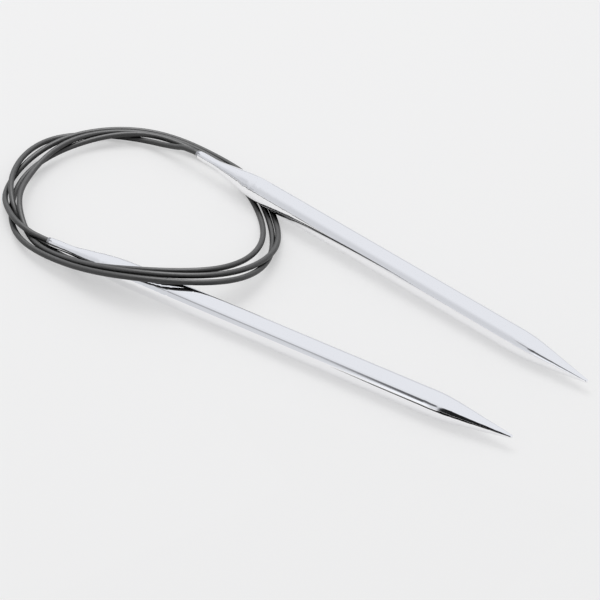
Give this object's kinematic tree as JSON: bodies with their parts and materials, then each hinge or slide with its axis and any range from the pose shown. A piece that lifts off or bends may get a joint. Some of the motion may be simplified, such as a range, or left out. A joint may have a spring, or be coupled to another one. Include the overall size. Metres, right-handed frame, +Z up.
{
  "type": "circular knitting needle",
  "caption": "Fixed circular knitting needle: two hollow polished metal needle tips turning on the ends of a thin coated steel cable laid in a coil.",
  "frame": {"origin": "on the table, under the centre of the bounding box", "axes": "+Z up from the table; +X from the coil towards the needle points; +Y towards the far side of the coil, away from the viewer"},
  "size_m": [0.177, 0.177, 0.0112],
  "materials": {
    "polished_shaft": "mirror-polished nickel plating",
    "ferrule_steel": "satin turned steel",
    "bush_brass": "as turned",
    "cable_coating": "smooth satin coating",
    "steel_strand": "stranded wire"
  },
  "bodies": {
    "coil": {"cable_jacket_coil": "cable_coating", "cable_core_coil": "steel_strand"},
    "front_cable_end_1": {"front_cable_jacket_1": "cable_coating", "front_cable_core_1": "steel_strand"},
    "front_cable_end_2": {"front_cable_jacket_2": "cable_coating", "front_cable_core_2": "steel_strand", "front_crimp_ferrule": "ferrule_steel"},
    "front_needle": {"front_needle_tip": "polished_shaft", "front_retaining_bush": "bush_brass"},
    "back_cable_end_1": {"back_cable_jacket_1": "cable_coating", "back_cable_core_1": "steel_strand"},
    "back_cable_end_2": {"back_cable_jacket_2": "cable_coating", "back_cable_core_2": "steel_strand"},
    "back_cable_end_3": {"back_cable_jacket_3": "cable_coating", "back_cable_core_3": "steel_strand"},
    "back_cable_end_4": {"back_cable_jacket_4": "cable_coating", "back_cable_core_4": "steel_strand"},
    "back_cable_end_5": {"back_cable_jacket_5": "cable_coating", "back_cable_core_5": "steel_strand"},
    "back_cable_end_6": {"back_cable_jacket_6": "cable_coating", "back_cable_core_6": "steel_strand", "back_crimp_ferrule": "ferrule_steel"},
    "back_needle": {"back_needle_tip": "polished_shaft", "back_retaining_bush": "bush_brass"}
  },
  "joints": [
    {"name": "front_cable_swing_1", "type": "hinge", "parent": "coil", "child": "front_cable_end_1", "pos_m": [-0.07543, 0.01778, 0.00411], "axis": [0, 0, 1], "range_deg": [0, 2]},
    {"name": "front_cable_swing_2", "type": "hinge", "parent": "front_cable_end_1", "child": "front_cable_end_2", "pos_m": [-0.07231, 0.0153, 0.004], "axis": [0, 0, 1], "range_deg": [0, 2]},
    {"name": "front_needle_turn", "type": "hinge", "parent": "front_cable_end_2", "child": "front_needle", "pos_m": [-0.06991, 0.01349, 0.004], "axis": [0.7985, -0.602, 0], "continuous": true},
    {"name": "back_cable_swing_1", "type": "hinge", "parent": "coil", "child": "back_cable_end_1", "pos_m": [-0.04628, 0.08147, 0.00211], "axis": [0, 0, 1], "range_deg": [0, 8]},
    {"name": "back_cable_lift_1", "type": "hinge", "parent": "back_cable_end_1", "child": "back_cable_end_2", "pos_m": [-0.04201, 0.07891, 0.00261], "axis": [-0.5565, -0.8308, 0], "range_deg": [0, 20]},
    {"name": "back_cable_swing_2", "type": "hinge", "parent": "back_cable_end_2", "child": "back_cable_end_3", "pos_m": [-0.03804, 0.07596, 0.00329], "axis": [0, 0, 1], "range_deg": [0, 8]},
    {"name": "back_cable_lift_2", "type": "hinge", "parent": "back_cable_end_3", "child": "back_cable_end_4", "pos_m": [-0.0344, 0.07271, 0.00437], "axis": [-0.6932, -0.7207, 0], "range_deg": [0, 20]},
    {"name": "back_cable_swing_3", "type": "hinge", "parent": "back_cable_end_4", "child": "back_cable_end_5", "pos_m": [-0.03106, 0.06931, 0.00588], "axis": [0, 0, 1], "range_deg": [0, 8]},
    {"name": "back_cable_lift_3", "type": "hinge", "parent": "back_cable_end_5", "child": "back_cable_end_6", "pos_m": [-0.02771, 0.06569, 0.00656], "axis": [-0.7381, -0.6747, 0], "range_deg": [0, 20]},
    {"name": "back_needle_turn", "type": "hinge", "parent": "back_cable_end_6", "child": "back_needle", "pos_m": [-0.02569, 0.06348, 0.0065], "axis": [0.6747, -0.7379, -0.0175], "continuous": true}
  ],
  "couplings": [
    {"joint": "front_cable_swing_2", "follows": "front_cable_swing_1", "ratio": 1},
    {"joint": "back_cable_swing_2", "follows": "back_cable_swing_1", "ratio": 1},
    {"joint": "back_cable_lift_2", "follows": "back_cable_lift_1", "ratio": 1},
    {"joint": "back_cable_swing_3", "follows": "back_cable_swing_1", "ratio": 1},
    {"joint": "back_cable_lift_3", "follows": "back_cable_lift_1", "ratio": 1}
  ]
}
